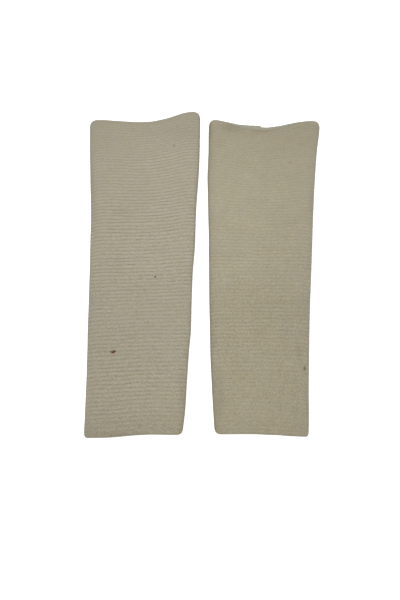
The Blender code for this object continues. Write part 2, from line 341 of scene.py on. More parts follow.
def corner_dip(inset, radius):
    """How far a corner of this radius rounds away, this far in from the fold."""
    short = np.clip(1 - inset / radius, 0, 1)
    return radius * (1 - np.sqrt(1 - short**2))


def swell_at(warmer, across, height):
    """The soft rises and hollows of the upper layer."""
    rise = np.zeros_like(across)
    for swell in warmer.swells:
        sideways = (across - swell.across) / swell.half_width
        lengthways = (height - swell.height) / swell.half_length
        rise += swell.rise * np.exp(-(sideways**2) - lengthways**2)
    return rise


# share: 0 at the left fold, 1 at the right; wale: stitches round the tube; way: millimetres round it
Columns = namedtuple("Columns", "inset share rise rib facing inside_inset inside_rise upper wale way")


def columns_round():
    """A tube's columns: up round the left fold, over the top, down round the right fold, back below."""
    table = {name: [getattr(point, name) for point in FOLD] for name in FoldPoint._fields}
    steps = np.hypot(np.diff(table["inset"]), np.diff(table["rise"]))
    ways = np.concatenate([[0], np.cumsum(steps)])
    fold_way = ways[FOLD.index(CREST)]
    at = np.linspace(0, fold_way, FOLD_COLUMNS)
    fold = {name: curve(ways, values, at) for name, values in table.items()}
    over = np.arange(1, UPPER_COLUMNS) / UPPER_COLUMNS
    under = np.arange(1, LOWER_COLUMNS) / LOWER_COLUMNS

    def join(name):
        overs = np.full(len(over), getattr(CREST, name))
        unders = np.full(len(under), getattr(FOOT, name))
        return np.concatenate([fold[name], overs, fold[name][::-1], unders])

    def count_round(fold_size, layer_size):
        """What grows evenly round the tube, by what each fold and each layer adds."""
        folds, half = np.linspace(0, fold_size, FOLD_COLUMNS), fold_size + layer_size
        overs, unders = fold_size + over * layer_size, fold_size + under * layer_size
        return np.concatenate([folds, overs, half + folds, half + unders])

    return Columns(
        inset=join("inset"),
        share=np.concatenate([0 * at, over, 0 * at + 1, 1 - under]),
        rise=join("rise"),
        rib=join("rib"),
        facing=np.radians(join("facing")),
        inside_inset=join("inside_inset"),
        inside_rise=join("inside_rise"),
        upper=np.concatenate([at >= 0, over > 0, at >= 0, under < 0]),
        wale=count_round(FOLD_WALES, LAYER_WALES),
        way=count_round(fold_way, LAYER_WIDTH),
    )


COLUMNS = columns_round()
ROUND_WALES = 2 * (FOLD_WALES + LAYER_WALES)
ROUND_WAY = 2 * COLUMNS.way[FOLD_COLUMNS - 1] + 2 * LAYER_WIDTH
TOP_COLUMNS = (COLUMNS.rib == 1) & (COLUMNS.share > 0) & (COLUMNS.share < 1)


def noise_round(seed, up, cell):
    """Soft noise at each column round a tube."""
    return soft_noise(seed, up, COLUMNS.way, cell, ROUND_WAY)


Rib = namedtuple("Rib", "start pitch depth split pairs")
PlainRib = namedtuple("PlainRib", "split pairs")  # what the ribs of the plain knit have instead


def ribs_up(warmer, plain):
    """Each rib from the lower mouth up; those in the plain knit are faint and evenly spaced."""
    ribs_start = EDGE_BAND
    while along(warmer.ribs, "depth", ribs_start) < LEAST_RIB:
        ribs_start += PLAIN_STEP
    count = round((ribs_start - EDGE_BAND) / PLAIN_PITCH)
    pitch = (ribs_start - EDGE_BAND) / count
    ribs = [
        Rib(EDGE_BAND + index * pitch, pitch, PLAIN_RELIEF, plain.split, plain.pairs)
        for index in range(count)
    ]
    at, last = ribs_start, length_of(warmer) - EDGE_BAND
    pitch = float(along(warmer.ribs, "pitch", at))
    while at + LEAST_LEFT * pitch <= last:
        ribs.append(Rib(at, pitch, float(along(warmer.ribs, "depth", at)), RIB_SPLIT, PAIRS))
        at += pitch
        pitch = float(along(warmer.ribs, "pitch", at))
    return ribs


# station: how far up the leg; shape: 0.5 on a rib's crest and -0.5 in a groove; course: how many
# courses up; relief: how far shape raises it; pairs: how much deeper each second wale's groove is
Rows = namedtuple("Rows", "station shape course relief pairs")


def rows_up(warmer, plain):
    """The outside's rows from mouth to mouth, at the CAD's stations and between them."""
    length = length_of(warmer)
    rows = [(at, 0.0, at / EDGE_BAND * EDGE_COURSES, 0.0, 0.0) for at in EDGE_ROWS]
    course = EDGE_COURSES
    ribs = ribs_up(warmer, plain)
    for rib in ribs:
        for share in RIB_ROWS:
            groove = np.exp(-((min(share, 1 - share) / GROOVE_WIDTH) ** 2))
            split = rib.split * np.exp(-(((share - 0.5) / SPLIT_WIDTH) ** 2))
            station = rib.start + share * rib.pitch
            shape, courses = 0.5 - groove - split, course + COURSES_IN_RIB * share
            rows.append((station, shape, courses, rib.depth, rib.pairs))
        course += COURSES_IN_RIB
    at = ribs[-1].start + ribs[-1].pitch
    left_over = length - EDGE_BAND - at
    last_rows = max(2, round(left_over / LAST_STEP))
    for row in range(last_rows):
        share = row / last_rows
        shape, courses = -0.5 if row == 0 else LAST_SHAPE, course + LAST_COURSES * share
        rows.append((at + share * left_over, shape, courses, LAST_RELIEF, PAIRS))
    course += LAST_COURSES
    rows.append((length - EDGE_BAND, 0.0, course, 0.0, 0.0))
    course += EDGE_COURSES
    for at in reversed(EDGE_ROWS):
        rows.append((length - at, 0.0, course - at / EDGE_BAND * EDGE_COURSES, 0.0, 0.0))
    return Rows(*(np.array(values)[:, None] for values in zip(*rows, strict=True)))


def sides_at(warmer, height):
    return -along(warmer.sides, "left", height), along(warmer.sides, "right", height)


def across_at(warmer, height, inset):
    left, right = sides_at(warmer, height)
    return (left + inset) * (1 - COLUMNS.share) + (right - inset) * COLUMNS.share


def heights_at(warmer, station):
    """How far up the leg a row runs: like the nearest mouth's edge, then straighter."""
    across = across_at(warmer, station, COLUMNS.inset)
    left, right = sides_at(warmer, station)
    top = np.where(
        COLUMNS.upper,
        along(warmer.top_upper, "height", across),
        along(warmer.top_lower, "height", across),
    )
    bottom = along(warmer.bottom, "height", across)
    length = length_of(warmer)
    up = np.clip(station / length, 0, 1)
    corners, from_left, from_right = warmer.corners, across - left, right - across
    top_dip = corner_dip(from_left, corners.top_left) + corner_dip(from_right, corners.top_right)
    bottom_dip = corner_dip(from_left, corners.bottom_left) + corner_dip(from_right, corners.bottom_right)
    top_fade = np.clip(1 - (length - station) / CORNER_REACH, 0, 1) ** 2
    bottom_fade = np.clip(1 - station / CORNER_REACH, 0, 1) ** 2
    return (
        middle_height(warmer.bottom)
        + station
        + up**warmer.top_bend_power * (top - middle_height(warmer.top_lower))
        + (1 - up) ** warmer.bottom_bend_power * (bottom - middle_height(warmer.bottom))
        - top_fade * top_dip
        + bottom_fade * bottom_dip
    )


def lift_at(warmer, station, across, height, seed):
    """How far the upper layer stands off, between its folds."""
    left, right = sides_at(warmer, height)
    span = np.clip((across - left) / (right - left), 0, 1)
    to_mouth = np.minimum(station, length_of(warmer) - station)
    lift = MOUTH_LIFT * np.exp(-((to_mouth / MOUTH_REACH) ** 2)) + swell_at(warmer, across, height)
    uneven = noise_round(seed, height, SWELL_CELL)
    lift += SOFT_SWELL * (0.5 + 0.5 * uneven) * ease(to_mouth / SWELL_START)
    return lift * np.sin(np.pi * span) * (COLUMNS.rise > HIGH)


def top_rise(warmer, across, height):
    """The upper layer's rise, by how near the nearest fold is."""
    left, right = sides_at(warmer, height)
    return along(TOP, "rise", np.minimum(across - left, right - across))


def shade_and_dirt_factors(share, tint):
    """The factors that a share of a tint multiplies a colour by: painted shade, in the grooves with some
    dirt.
    """
    return 1 - share[..., None] * (1 - np.array(tint))


def droop_at(warmer, looks, station):
    """How far a rib hangs down beside the folds."""
    left, right = sides_at(warmer, station)
    across = across_at(warmer, station, COLUMNS.inset)
    by_left = along(looks.droops, "left", station) * np.exp(-(across - left) / DROOP_REACH)
    by_right = along(looks.droops, "right", station) * np.exp(-(right - across) / DROOP_REACH)
    return by_left + by_right


def outside_points(warmer, rows, looks, seed):
    """The outside's points, row by row, and the painted shade of each: in a groove, by a fold, by a
    mouth.
    """
    length = length_of(warmer)
    station = rows.station
    to_mouth = np.minimum(station, length - station)
    rib = rows.course / COURSES_IN_RIB

    wobble = noise_round(seed, station, WOBBLE_CELL)
    fine_wobble = noise_round(seed + 1, station, FINE_CELL)
    jitter = noise_round(seed + 8, 2 * rib, JITTER_CELL)
    shift = COURSE_WOBBLE * (wobble + FINE_WOBBLE * fine_wobble) + STITCH_JITTER * jitter
    droop = droop_at(warmer, looks, station) * ease(to_mouth / DROOP_START)
    height = heights_at(warmer, station + (shift * ease(to_mouth / WOBBLE_START) - droop))
    across = across_at(warmer, height, COLUMNS.inset)
    outline = soft_noise(seed + 2, height, COLUMNS.share * 0.5, OUTLINE_CELL, 1.0)
    across = across + OUTLINE_WOBBLE * outline

    beads = noise_round(seed + 3, rib, BEAD_CELL)
    dashes = noise_round(seed + 4, rib, DASH_CELL)
    patches = noise_round(seed + 5, station, PATCH_CELL)
    pairs = rows.pairs * np.cos(np.pi * (COLUMNS.wale + np.floor(2 * rib)))
    uneven = 1 - looks.steady * ease((station - STEADY_FROM) / STEADY_OVER)
    strength = 1 + uneven * (BEADS * beads + DASHES * dashes) + PATCHES * patches + pairs
    stitches = np.random.default_rng(seed + 6).uniform(-1, 1, (int(rows.course.max()) + 2, ROUND_WALES))
    stitch = stitches[np.floor(rows.course).astype(int), np.floor(COLUMNS.wale).astype(int)]
    edge = EDGE_ROUNDING * (1 - ease(to_mouth / EDGE_BAND))
    grain = WALE_RELIEF * np.cos(np.pi * COLUMNS.wale) + STITCH_RELIEF * stitch
    grain = grain * ease(to_mouth / GRAIN_START + EDGE_GRAIN)
    raised = rows.relief * rows.shape * strength + grain - edge

    top = top_rise(warmer, across, height)
    rise = np.where(TOP_COLUMNS, top, COLUMNS.rise) + lift_at(warmer, station, across, height, seed + 7)
    outwards = np.where(COLUMNS.share > 0.5, 1, -1)
    across = across + FOLD_FLATTENING * raised * COLUMNS.rib * np.cos(COLUMNS.facing) * outwards
    rise = rise + raised * COLUMNS.rib * np.sin(COLUMNS.facing)

    left, right = sides_at(warmer, height)
    from_fold = np.minimum(across - left, right - across)
    under = ease((from_fold - FOOT.inset) / UNDERSIDE_FADE)
    below = np.clip(rows.relief / 2 + WALE_RELIEF - raised, 0, None) * under
    rise = np.where(COLUMNS.upper, rise, below)

    # Painted shade in the grooves, with some real dirt there, and painted light on the crests; then
    # painted shade by the mouths.
    below_mean = (MEAN_SHAPE - rows.shape) * (rows.relief > 0) * along(looks.shades, "shade", station)
    middle = MIDDLE_SHADE * np.sin(np.pi * COLUMNS.share) * ease((station - MIDDLE_FROM) / MIDDLE_OVER)
    groove = below_mean * (strength + STITCH_UNEVEN * stitch) * (1 + middle)
    shade = shade_and_dirt_factors(groove, looks.groove) * shade_and_dirt_factors(np.exp(-to_mouth / MOUTH_SHADE_REACH), MOUTH_SHADE)
    # Painted shade at each fold, where the surface turns away, and softer painted shade beside it.
    for beside, fold, side in (
        (COLUMNS.share < 0.5, looks.fold_left, looks.side_left),
        (COLUMNS.share > 0.5, looks.fold_right, looks.side_right),
    ):
        shade = shade * shade_and_dirt_factors(beside * np.exp(-from_fold / FOLD_SHADE_REACH), fold)
        shade = shade * shade_and_dirt_factors(beside * np.exp(-from_fold / SIDE_SHADE_REACH), side)
    return place(warmer, across, height, rise), shade


def inside_points(warmer, stations, seed):
    height = heights_at(warmer, stations)
    across = across_at(warmer, height, COLUMNS.inside_inset)
    outer_across = across_at(warmer, height, COLUMNS.inset)
    top = top_rise(warmer, outer_across, height) - WALL
    rise = np.where(TOP_COLUMNS, top, COLUMNS.inside_rise)
    rise = rise + lift_at(warmer, stations, across, height, seed + 7)
    return place(warmer, across, height, rise)


def place(warmer, across, height, rise):
    x, y = warmer.place
    across, height, rise = np.broadcast_arrays(x + across, y + height, rise)
    return np.stack([across, height, rise], axis=-1) * MM


def rim_points(outer, inner, outward):
    """Rows that turn a mouth's edge from the outside row to the inside row, bulging outward."""
    rows = []
    for step in range(1, RIM_ROWS + 1):
        share = step / RIM_ROWS
        row = outer * (1 - share) + inner * share
        scallop = 1 + RIM_SCALLOP / RIM_BULGE * np.cos(np.pi * COLUMNS.wale)
        row[:, 1] += outward * RIM_BULGE * MM * np.sin(np.pi * share) * scallop
        rows.append(row)
    return np.array(rows)


# ------------------------ meshes

MAP_MARGIN = 0.004  # left free round the edges of the OFBake map
LEAST_MAP_STEP = 0.3  # what rows that lie closer together take up in it


def add_map(data, name, across, up):
    """A UV map from what each column and each row reads; across has one more for the closing column."""
    rows, columns = len(up) - 1, len(across) - 1
    row, column = np.mgrid[0:rows, 0:columns]
    corners = [(column, row), (column + 1, row), (column + 1, row + 1), (column, row + 1)]
    uv = np.stack([np.stack([across[c], up[r]], axis=-1) for c, r in corners], axis=2)
    data.uv_layers.new(name=name).data.foreach_set("uv", uv.ravel())


def make_tube(name, points, material, courses, facing_in=False):
    """One closed band of quads for each pair of neighbouring rows."""
    rows, columns = points.shape[:2]
    row, column = np.mgrid[0 : rows - 1, 0:columns]
    beside = (column + 1) % columns
    low, high = row * columns, (row + 1) * columns
    faces = np.stack([low + column, low + beside, high + beside, high + column], axis=-1)
    data = bpy.data.meshes.new(name)
    data.from_pydata(points.reshape(-1, 3), [], faces.reshape(-1, 4))
    add_map(data, "Knit", np.append(COLUMNS.wale, ROUND_WALES), courses)
    ways = np.append(COLUMNS.way, ROUND_WAY) / ROUND_WAY
    heights = points[:, :, 1].mean(axis=1)
    ups = np.cumsum(np.append(0, np.maximum(np.abs(np.diff(heights)), LEAST_MAP_STEP * MM)))
    spread = 1 - 2 * MAP_MARGIN
    add_map(data, "OFBake", MAP_MARGIN + spread * ways, MAP_MARGIN + spread * ups / ups[-1])
    if facing_in:
        data.flip_normals()
    data.shade_smooth()
    data.materials.append(material)
    piece = bpy.data.objects.new(name, data)
    bpy.context.scene.collection.objects.link(piece)
    return piece


def add_shade(piece, factors):
    data = piece.data.attributes.new("shade", "FLOAT_VECTOR", "POINT").data
    data.foreach_set("vector", factors.ravel())


# ------------------------ the knit's colours


class Graph:
    """Adds shader nodes to one material; an input is a plain value or another node's output."""

    def __init__(self, name, seed):
        self.material = bpy.data.materials.new(name)
        self.material.use_nodes = True
        self.nodes = self.material.node_tree.nodes
        self.links = self.material.node_tree.links
        self.shader = self.nodes["Principled BSDF"]
        self.shift = (seed * 10.0, seed * 7.0)  # where its noise is read, away from other materials'

    def add(self, kind, **settings):
        node = self.nodes.new(kind)
        for key, value in settings.items():
            setattr(node, key, value)
        return node

    def put(self, value, socket):
        if isinstance(value, bpy.types.NodeSocket):
            self.links.new(value, socket)
        else:
            socket.default_value = value

    def math(self, operation, *values, clamp=False):
        node = self.add("ShaderNodeMath", operation=operation, use_clamp=clamp)
        for value, socket in zip(values, node.inputs):
            self.put(value, socket)
        return node.outputs[0]

    def times(self, first, second):
        return self.math("MULTIPLY", first, second)

    def vector(self, operation, *values, output=0):
        node = self.add("ShaderNodeVectorMath", operation=operation)
        for value, socket in zip(values, node.inputs):
            self.put(value, socket)
        return node.outputs[output]

    def scaled(self, vector, amount):
        node = self.add("ShaderNodeVectorMath", operation="SCALE")
        self.put(vector, node.inputs[0])
        self.put(amount, node.inputs["Scale"])
        return node.outputs[0]

    def places(self):
        """Where a point of the piece is, in millimetres."""
        return self.scaled(self.add("ShaderNodeTexCoord").outputs["Object"], 1 / MM)

    def knit_map(self):
        """Which wale and which course a point is in."""
        return self.add("ShaderNodeUVMap", uv_map="Knit").outputs[0]

    def parts(self, vector):
        node = self.add("ShaderNodeSeparateXYZ")
        self.put(vector, node.inputs[0])
        return node.outputs

    def mix(self, share, first, second):
        node = self.add("ShaderNodeMix", data_type="RGBA")
        self.put(share, node.inputs[0])
        self.put(first, node.inputs[6])
        self.put(second, node.inputs[7])
        return node.outputs[2]

    def noise(self, places, kind, rise=0.0):
        """Noise about 0.5, on places in millimetres; with a rise it is read at another place."""
        shift = (*reversed(self.shift), rise) if rise else (*self.shift, 0.0)
        moved = self.vector("ADD", places, shift)
        node = self.add("ShaderNodeTexNoise")
        self.put(moved, node.inputs["Vector"])
        self.put(1.0 / kind.cell, node.inputs["Scale"])
        self.put(kind.detail, node.inputs["Detail"])
        return node.outputs[0]

    def swing(self, value, amount):
        """A factor about 1, from a value about 0.5."""
        doubled = self.math("MULTIPLY_ADD", value, 2.0, -1.0)
        return self.math("MULTIPLY_ADD", doubled, amount, 1.0)

    def step(self, value, start, end):
        """0 before start, 1 after end, and eased between them; start may be the higher one."""
        node = self.add("ShaderNodeMapRange", interpolation_type="SMOOTHSTEP")
        low, high, swapped = (start, end, False) if start < end else (end, start, True)
        self.put(value, node.inputs["Value"])
        self.put(low, node.inputs["From Min"])
        self.put(high, node.inputs["From Max"])
        self.put(1.0 if swapped else 0.0, node.inputs["To Min"])
        self.put(0.0 if swapped else 1.0, node.inputs["To Max"])
        return node.outputs[0]


# x and y are places in the scene; a height is up the leg.
# A tone's brightness up the leg is partly the cloth's own tone and dirt and partly painted light.
Tone = namedtuple("Tone", "y brightness yellow")
# Mostly real stains; a few rows beside the folds are painted shade, and a few painted light that lifts
# the folds' painted shade.
Stain = namedtuple(
    "Stain", "x y half_width half_length colour strength softness ragged", defaults=(1.0, 0.4)
)
Shade = namedtuple("Shade", "height shade")  # how dark the grooves' painted shade and dirt are, by height up the leg
Droop = namedtuple("Droop", "height left right")  # how far the ribs hang down at each fold
Grain = namedtuple("Grain", "y amount")  # how strong the specks are
# The faint slanting lines of stitches: they show from start down and fully from full, as strongly as
# depth says, and slant more the further they are from upright.
Twill = namedtuple("Twill", "start full upright depth")
# lean: painted light, how much brighter the right side is than the left; mottle: how strong its mottling
# is;
# steady: how much more even the upper grooves are; groove, fold and side: the tints there, painted
# shade, with some dirt in the grooves; yarn: how far single yarns differ in colour, at the upper mouth
# and at the lower one
Looks = namedtuple(
    "Looks",
    "colour tones lean mottle stains shades plain droops steady "
    "groove fold_left side_left fold_right side_right grain yarn twill seed",
)

DARK_BROWN = (0.055, 0.016, 0.003)
ORANGE_BROWN = (0.27, 0.15, 0.065)
UMBER = (0.13, 0.085, 0.035)
SOOT = (0.07, 0.06, 0.04)
GREY_BROWN = (0.20, 0.175, 0.125)
OLIVE = (0.25, 0.22, 0.11)
TAN = (0.27, 0.22, 0.14)
PALE = (0.36, 0.33, 0.25)
ASHEN = (0.26, 0.25, 0.205)
CREAM = (0.42, 0.38, 0.275)
YELLOWER = (1.025, 1.0, 0.95, 1.0)
GREYER = (0.975, 1.0, 1.05, 1.0)
# painted shade where a mouth's edge rounds down
MOUTH_SHADE = (0.90, 0.92, 0.93)
INSIDE_COLOUR = (0.335, 0.320, 0.248)
DARKENING = (0.94, 1.0, 1.22)  # a darker spot loses more blue than red
YELLOW_GREEN = 0.35  # how much green goes with the blue that a yellower tone loses
YARN_TINT = (0.08, 0.01, -0.15)  # from a grey yarn to an orange one

LEFT_LOOKS = Looks(
    colour=(0.362, 0.329, 0.2447),
    tones=rows_of(Tone, [
        (-162, 0.825, 0.045), (-135, 0.925, 0.04), (-100, 0.925, 0.02), (-50, 0.925, 0.0),
        (-10, 0.955, 0.0), (40, 0.985, 0.0), (80, 0.965, 0.0), (120, 0.975, 0.0), (162, 0.865, 0.0),
    ]),
    lean=0.085,
    mottle=0.020,
    stains=rows_of(Stain, [
        (-88.4, -77.1, 4.3, 3, ORANGE_BROWN, 0.65, 0.9, 0.5),
        (-91.1, -76.8, 2.2, 0.9, DARK_BROWN, 0.45, 0.9, 0.5),
        (-88.8, -77.2, 2.4, 1.35, DARK_BROWN, 0.93, 0.6),
        (-87.3, -76.2, 1.8, 1.5, DARK_BROWN, 0.9, 0.6),
        (-89.4, -80.4, 1.2, 0.8, GREY_BROWN, 0.4, 0.8),
        (-46.5, -2, 1.5, 1.5, SOOT, 0.95, 0.7, 0.3),
        (-27.8, 128.9, 1.7, 1.6, GREY_BROWN, 0.85, 0.9, 0.3),
        (-108.8, -29, 1.3, 1.1, GREY_BROWN, 0.5, 1, 0.5),
        (-101.8, -35, 2.2, 0.9, GREY_BROWN, 0.4, 1, 0.6),
        (-78.8, 63.5, 12, 4, OLIVE, 0.30, 1, 0.8),
        (-110.5, 84, 5, 48, GREY_BROWN, 0.34, 1, 0.6),
        (-114.5, -116, 5, 48, CREAM, 0.14),
        (-110, -24, 9, 11, GREY_BROWN, 0.13),
        (-52, 7, 20, 9, CREAM, 0.18),
        (-84.3, 15, 9, 10, GREY_BROWN, 0.10, 1, 0.6),
        # painted shade beside the right fold, low down
        (-19.5, -118, 6, 46, GREY_BROWN, 0.24, 1, 0.3),
        (-11.5, -21, 4, 10, PALE, 0.55, 1, 0.3),
        (-6, 80, 3.5, 22, GREY_BROWN, 0.16, 1, 0.3),
        # painted shade beside the right fold
        (-15, -79, 5, 11, GREY_BROWN, 0.26),
        # painted light that lifts the right fold's painted shade near the top corner
        (-4.5, 148, 4, 20, PALE, 0.42, 1, 0.3),
        (-18, 143, 30, 22, GREY_BROWN, 0.14),
        (-88, -159, 34, 4, GREY_BROWN, 0.43, 1, 0.5),
        (-90.8, -160, 1.5, 1.2, SOOT, 0.45, 1, 0.5),
    ]),
    shades=rows_of(Shade, [
        (0, 0.28), (20, 0.44), (34, 0.43), (50, 0.52), (62, 0.54), (76, 0.44), (90, 0.49), (108, 0.395),
        (130, 0.39), (150, 0.53), (174, 0.64), (188, 0.40), (205, 0.54), (225, 0.54), (244, 0.435),
        (258, 0.37), (274, 0.51), (290, 0.34), (305, 0.29), (320, 0.20),
    ]),
    plain=PlainRib(0.40, 0.16),
    droops=rows_of(Droop, [
        (0, 1.0, 0.8), (40, 2.3, 0.8), (110, 2.6, 0.9), (163, 1.0, 0.6), (190, 3.4, 0.8),
        (250, 4.4, 1.0), (320, 4.2, 1.2),
    ]),
    steady=0.50,
    groove=(0.58, 0.56, 0.47),
    # painted shade at the folds and beside them
    fold_left=(0.72, 0.76, 0.79),
    side_left=(0.99, 1.00, 1.035),
    fold_right=(0.76, 0.76, 0.76),
    side_right=(0.945, 0.94, 0.93),
    grain=rows_of(Grain, [
        (-162, 1.8), (-150, 1.4), (-138, 1.15), (-80, 1.08), (-30, 0.95), (40, 1.0), (90, 0.55),
        (160, 0.38),
    ]),
    yarn=(0.5, 1.1),
    twill=Twill(10.0, -120.0, 50.0, 0.021),
    seed=11,
)

RIGHT_LOOKS = Looks(
    colour=(0.3625, 0.328, 0.2362),
    tones=rows_of(Tone, [
        (-162, 0.895, 0.04), (-128, 0.949, 0.045), (-95, 0.935, 0.042), (-35, 0.905, 0.045),
        (-15, 0.935, 0.035), (10, 0.975, 0.02), (45, 0.98, 0.02), (98, 0.99, 0.012), (134, 0.90, 0.03),
        (155, 0.89, 0.05),
    ]),
    lean=-0.065,
    mottle=0.050,
    stains=rows_of(Stain, [
        (102.5, -93, 2.8, 4.6, TAN, 0.85, 0.9, 0.5),
        (102.9, -93.6, 1.4, 3, UMBER, 0.75, 0.8, 0.5),
        (99.9, -94.7, 1.9, 1.5, TAN, 0.7, 1, 0.5),
        (91.2, -120, 1.4, 1.2, GREY_BROWN, 0.45, 1, 0.5),
        (73.2, -27.5, 36, 3, TAN, 0.22, 1, 0.8),
        (81.2, -45, 2.5, 1.6, GREY_BROWN, 0.35, 1, 0.6),
        (88.2, 112, 3.4, 2.4, TAN, 0.45, 1, 0.6),
        (54.2, 90, 7, 5.5, PALE, 0.30, 1, 0.6),
        (43.2, -130, 11, 5.5, PALE, 0.28, 1, 0.6),
        (60.7, 143.4, 15, 2.6, TAN, 0.8, 1, 0.5),
        (52, 149, 50, 12, GREY_BROWN, 0.38),
        (29, 148, 14, 9, GREY_BROWN, 0.34),
        (8, 144, 4, 18, GREY_BROWN, 0.30),
        (105, 151, 8, 12, ASHEN, 0.45),
        # painted light that lifts the left fold's painted shade
        (6.5, 108, 3, 13, PALE, 0.35),
        (7.2, 9, 3.5, 14, PALE, 0.45),
        (97.5, -76, 6, 17, GREY_BROWN, 0.26),
        (37, -90, 16, 16, GREY_BROWN, 0.10),
        (110, 74, 6, 20, GREY_BROWN, 0.25),
        (18.5, -122, 7, 42, GREY_BROWN, 0.19),
        (106.5, -122, 4, 46, ASHEN, 0.46),
        (84, -60, 20, 32, GREY_BROWN, 0.05),
        (61, -150, 42, 0.9, TAN, 0.40, 1, 0.8),
    ]),
    shades=rows_of(Shade, [
        (0, 0.34), (20, 0.32), (48, 0.42), (60, 0.38), (76, 0.25), (90, 0.31), (107, 0.32), (118, 0.34),
        (132, 0.26), (146, 0.31), (160, 0.21), (174, 0.33), (190, 0.19), (204, 0.205), (230, 0.215),
        (250, 0.168), (288, 0.175), (318, 0.18),
    ]),
    plain=PlainRib(0.60, 0.35),
    droops=rows_of(Droop, [
        (0, 1.2, 2.4), (60, 2.4, 2.5), (140, 2.0, 2.3), (190, 0.0, 2.6), (215, -0.6, 3.6),
        (250, 0.0, 1.2), (320, 0.0, 1.0),
    ]),
    steady=0.0,
    groove=(0.545, 0.505, 0.39),
    # painted shade at the folds and beside them
    fold_left=(0.50, 0.49, 0.47),
    side_left=(0.95, 0.955, 0.955),
    fold_right=(0.95, 0.99, 1.04),
    side_right=(0.94, 0.945, 0.99),
    grain=rows_of(Grain, [
        (-162, 1.2), (-115, 1.1), (-70, 1.25), (-30, 1.25), (30, 0.88), (90, 0.6), (160, 0.42),
    ]),
    yarn=(0.7, 1.9),
    twill=Twill(40.0, -50.0, 0.0, 0.017),
    seed=47,
)

# What noise is stretched by: less than 1 makes its lumps longer that way.
FLAT, CROSSWISE, LENGTHWAYS = (1.0, 1.0, 3.0), (0.38, 1.0, 1.0), (1.0, 0.2, 1.0)
# Kinds of noise: how wide the lumps are in millimetres, and how finely they break up.
Noise = namedtuple("Noise", "cell detail")
CLOUDS, CLOUD_SHADE = Noise(30.0, 2.0), 0.030
MOTTLES = Noise(9.0, 1.0)
STREAKS, STREAK_SHADE = Noise(3.0, 1.0), 0.020
SPECKS, SPECK_SHADE = Noise(1.2, 1.0), 0.250
THREADS, THREAD_SHADE = Noise(1.1, 1.0), 0.120
STITCH_SPECK = 0.045  # how much single stitches differ in brightness
WARMTH = Noise(14.0, 2.0)
YARNS = Noise(1.6, 2.0)
RAGGEDNESS = Noise(1.7, 3.0)  # of the edges of the stains and the painted shade
FUZZ, FUZZ_DEPTH, BACK_FUZZ_DEPTH = Noise(0.5, 3.0), 0.10, 0.12
LUMPS, LUMP_DEPTH = Noise(1.5, 2.0), 0.16
BACK_BLOTCHES, BACK_BLOTCH_SHADE = Noise(6.0, 2.0), 0.05
BACK_SPECKS, BACK_SPECK_SHADE = Noise(1.8, 3.0), 0.07
PURL_DEPTH, PURL_BEAD_DEPTH = 0.07, 0.05  # of the bumps across the knit's back, and along each

LEG = 320.0  # the warmers' length, for what runs evenly from mouth to mouth
MOST_GRAIN = 2.5  # the specks' strength goes into a ramp as a share of this, since colours stop at 1
STITCH_DEPTH = 0.18  # of the V of a plain stitch
STITCH_SHADE = 0.08  # and the painted light on its strands, with painted shade between them
STITCH_SLANT = 1.3  # how many courses they drop across a wale
STRAND_SHARE = 0.7  # how much of their height is lost between them
TWILL_LINES = 55  # round the tube
TWILL_SLANT = 0.0009  # lines a millimetre that they slant more by, for each millimetre down
STAIN_AND_SHADE_RISE = 4.6  # stains and painted shade lie on the upper layer, about this high
STAIN_AND_SHADE_DEPTH = 3.2  # and reach this far down
ROUGHNESS = 0.95
SHEEN = 0.15
SHEEN_ROUGHNESS = 0.6
SPECULAR = 0.18


def ramp_up(graph, y, rows, colours):
    """Colours that run softly into each other up the leg, one for each row's place."""
    low, high = rows[0].y, rows[-1].y
    share = graph.math("DIVIDE", graph.math("SUBTRACT", y, low), high - low, clamp=True)
    ramp = graph.add("ShaderNodeValToRGB")
    ramp.color_ramp.interpolation = "B_SPLINE"
    graph.put(share, ramp.inputs[0])
    stops = ramp.color_ramp.elements
    for row in rows[1:-1]:
        stops.new((row.y - low) / (high - low))
    for stop, colour in zip(stops, colours, strict=True):
        stop.color = (*colour, 1.0)
    return ramp.outputs[0]


def tint_of(tone):
    """A tone's colour: how bright it is, and how far its blue gives way."""
    parts = (1.0, 1 - tone.yellow * YELLOW_GREEN, 1 - tone.yellow)
    return [tone.brightness * part for part in parts]


def up_leg(graph, y, ends):
    """A number that runs evenly from the upper mouth's value to the lower one's."""
    top, bottom = ends
    return graph.math("MULTIPLY_ADD", y, (top - bottom) / LEG, (top + bottom) / 2)


def stain_and_shade_share(graph, places, stain_and_shade, ragged_noise):
    """How much of a stain's or a painted shade's colour shows: a soft ragged spot on the upper layer."""
    offset = graph.vector("SUBTRACT", places, (stain_and_shade.x, stain_and_shade.y, STAIN_AND_SHADE_RISE))
    sizes = (1 / stain_and_shade.half_width, 1 / stain_and_shade.half_length, 1 / STAIN_AND_SHADE_DEPTH)
    scaled = graph.vector("MULTIPLY", offset, sizes)
    distance = graph.vector("LENGTH", scaled, output="Value")
    bent = graph.math("ADD", distance, graph.times(ragged_noise, stain_and_shade.ragged))
    inner = max(0.0, 1 - stain_and_shade.softness)
    return graph.times(graph.step(bent, 1.0, inner), stain_and_shade.strength)


def stitch_height(graph, wale, course):
    """The V of each plain stitch, from 0 to 1."""
    aside = graph.math("ABSOLUTE", graph.math("SUBTRACT", graph.math("FRACT", wale), 0.5))
    bow = graph.math("POWER", graph.math("MULTIPLY_ADD", aside, 4.0, -1.0), 2.0)
    leg = graph.math("SUBTRACT", 1.0, bow)
    slant = graph.math("FRACT", graph.math("MULTIPLY_ADD", aside, -STITCH_SLANT, course))
    strand = graph.math("SINE", graph.times(slant, np.pi))
    strand = graph.math("MULTIPLY_ADD", strand, STRAND_SHARE, 1 - STRAND_SHARE)
    return graph.times(leg, strand)


